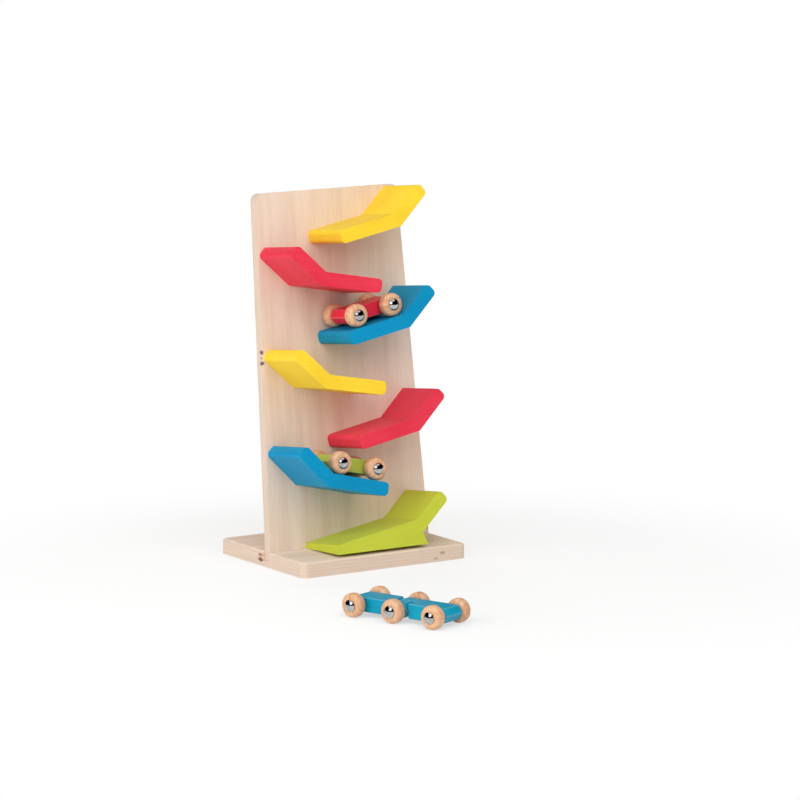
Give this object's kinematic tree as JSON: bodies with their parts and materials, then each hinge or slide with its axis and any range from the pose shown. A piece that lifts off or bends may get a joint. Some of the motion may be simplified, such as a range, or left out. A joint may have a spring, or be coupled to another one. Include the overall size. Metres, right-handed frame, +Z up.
{
  "type": "click clack track toy",
  "caption": "Wooden click clack track: a leaning board on a base carries bent painted ramps in a zigzag, down which small wheeled cars roll and tumble end over end.",
  "frame": {"origin": "centre of the base's underside", "axes": "X along the board to the right, Y from the front to the back, Z up from the surface that the base stands on"},
  "size_m": [0.2208, 0.3742, 0.3215],
  "materials": {
    "birch_ply": "sanded clear-lacquered plywood",
    "ramp_yellow": "satin paint",
    "ramp_red": "satin paint",
    "ramp_blue": "satin paint",
    "ramp_green": "satin paint",
    "car_red": "satin paint",
    "car_green": "satin paint",
    "car_blue": "satin paint",
    "beech": "turned and clear-lacquered",
    "chrome_cap": "polished",
    "axle_steel": "drawn",
    "zinc_screw": "zinc plated"
  },
  "bodies": {
    "tower": {"base_plate": "birch_ply", "back_board": "birch_ply", "ramp_1_yellow": "ramp_yellow", "ramp_2_red": "ramp_red", "ramp_3_blue": "ramp_blue", "ramp_4_yellow": "ramp_yellow", "ramp_5_red": "ramp_red", "ramp_6_blue": "ramp_blue", "ramp_7_green": "ramp_green", "ramp_screws": "zinc_screw", "base_screws": "zinc_screw"},
    "red_car": {"red_car_body": "car_red", "red_lead_axle": "axle_steel", "red_tail_axle": "axle_steel", "red_hub_caps": "chrome_cap"},
    "green_car": {"green_car_body": "car_green", "green_lead_axle": "axle_steel", "green_tail_axle": "axle_steel", "green_hub_caps": "chrome_cap"},
    "blue_car": {"blue_lead_segment": "car_blue", "blue_lead_axle": "axle_steel", "blue_mid_axle": "axle_steel", "blue_lead_hub_caps": "chrome_cap"},
    "blue_car_tail": {"blue_tail_segment": "car_blue", "blue_tail_axle": "axle_steel", "blue_tail_hub_caps": "chrome_cap"},
    "red_lead_wheel_near": {"red_lead_wheel_near": "beech"},
    "red_lead_wheel_far": {"red_lead_wheel_far": "beech"},
    "red_tail_wheel_near": {"red_tail_wheel_near": "beech"},
    "red_tail_wheel_far": {"red_tail_wheel_far": "beech"},
    "green_lead_wheel_near": {"green_lead_wheel_near": "beech"},
    "green_lead_wheel_far": {"green_lead_wheel_far": "beech"},
    "green_tail_wheel_near": {"green_tail_wheel_near": "beech"},
    "green_tail_wheel_far": {"green_tail_wheel_far": "beech"},
    "blue_lead_wheel_near": {"blue_lead_wheel_near": "beech"},
    "blue_lead_wheel_far": {"blue_lead_wheel_far": "beech"},
    "blue_mid_wheel_near": {"blue_mid_wheel_near": "beech"},
    "blue_mid_wheel_far": {"blue_mid_wheel_far": "beech"},
    "blue_tail_wheel_near": {"blue_tail_wheel_near": "beech"},
    "blue_tail_wheel_far": {"blue_tail_wheel_far": "beech"}
  },
  "joints": [
    {"name": "red_car_roll", "type": "slide", "parent": "tower", "child": "red_car", "axis": [-0.9833, -0.0222, -0.1809], "range_m": [-0.0015, 0.0105]},
    {"name": "green_car_roll", "type": "slide", "parent": "tower", "child": "green_car", "axis": [0.9724, -0.0284, -0.2317], "range_m": [-0.006, 0.0055]},
    {"name": "blue_car_roll", "type": "slide", "parent": "tower", "child": "blue_car", "axis": [0.342, -0.9397, 0], "range_m": [-0.1, 0.1]},
    {"name": "blue_car_fold", "type": "hinge", "parent": "blue_car", "child": "blue_car_tail", "pos_m": [-0.0995, -0.2525, 0.01], "axis": [0.9397, 0.342, 0], "range_deg": [0, 110]},
    {"name": "red_lead_wheel_near_spin", "type": "hinge", "parent": "red_car", "child": "red_lead_wheel_near", "pos_m": [-0.00594, -0.03094, 0.21405], "axis": [0, 0.9925, -0.1219], "continuous": true},
    {"name": "red_lead_wheel_far_spin", "type": "hinge", "parent": "red_car", "child": "red_lead_wheel_far", "pos_m": [-0.00594, 0.0038, 0.20978], "axis": [0, 0.9925, -0.1219], "continuous": true},
    {"name": "red_tail_wheel_near_spin", "type": "hinge", "parent": "red_car", "child": "red_tail_wheel_near", "pos_m": [0.02945, -0.03014, 0.22056], "axis": [0, 0.9925, -0.1219], "continuous": true},
    {"name": "red_tail_wheel_far_spin", "type": "hinge", "parent": "red_car", "child": "red_tail_wheel_far", "pos_m": [0.02945, 0.0046, 0.21629], "axis": [0, 0.9925, -0.1219], "continuous": true},
    {"name": "green_lead_wheel_near_spin", "type": "hinge", "parent": "green_car", "child": "green_lead_wheel_near", "pos_m": [0.003, -0.04704, 0.08296], "axis": [0, 0.9925, -0.1219], "continuous": true},
    {"name": "green_lead_wheel_far_spin", "type": "hinge", "parent": "green_car", "child": "green_lead_wheel_far", "pos_m": [0.003, -0.0123, 0.07869], "axis": [0, 0.9925, -0.1219], "continuous": true},
    {"name": "green_tail_wheel_near_spin", "type": "hinge", "parent": "green_car", "child": "green_tail_wheel_near", "pos_m": [-0.03201, -0.04602, 0.0913], "axis": [0, 0.9925, -0.1219], "continuous": true},
    {"name": "green_tail_wheel_far_spin", "type": "hinge", "parent": "green_car", "child": "green_tail_wheel_far", "pos_m": [-0.03201, -0.01128, 0.08703], "axis": [0, 0.9925, -0.1219], "continuous": true},
    {"name": "blue_lead_wheel_near_spin", "type": "hinge", "parent": "blue_car", "child": "blue_lead_wheel_near", "pos_m": [-0.10226, -0.29607, 0.01], "axis": [0.9397, 0.342, 0], "continuous": true},
    {"name": "blue_lead_wheel_far_spin", "type": "hinge", "parent": "blue_car", "child": "blue_lead_wheel_far", "pos_m": [-0.06938, -0.2841, 0.01], "axis": [0.9397, 0.342, 0], "continuous": true},
    {"name": "blue_mid_wheel_near_spin", "type": "hinge", "parent": "blue_car", "child": "blue_mid_wheel_near", "pos_m": [-0.11595, -0.25849, 0.01], "axis": [0.9397, 0.342, 0], "continuous": true},
    {"name": "blue_mid_wheel_far_spin", "type": "hinge", "parent": "blue_car", "child": "blue_mid_wheel_far", "pos_m": [-0.08306, -0.24652, 0.01], "axis": [0.9397, 0.342, 0], "continuous": true},
    {"name": "blue_tail_wheel_near_spin", "type": "hinge", "parent": "blue_car_tail", "child": "blue_tail_wheel_near", "pos_m": [-0.12962, -0.2209, 0.01], "axis": [0.9397, 0.342, 0], "continuous": true},
    {"name": "blue_tail_wheel_far_spin", "type": "hinge", "parent": "blue_car_tail", "child": "blue_tail_wheel_far", "pos_m": [-0.09674, -0.20893, 0.01], "axis": [0.9397, 0.342, 0], "continuous": true}
  ]
}
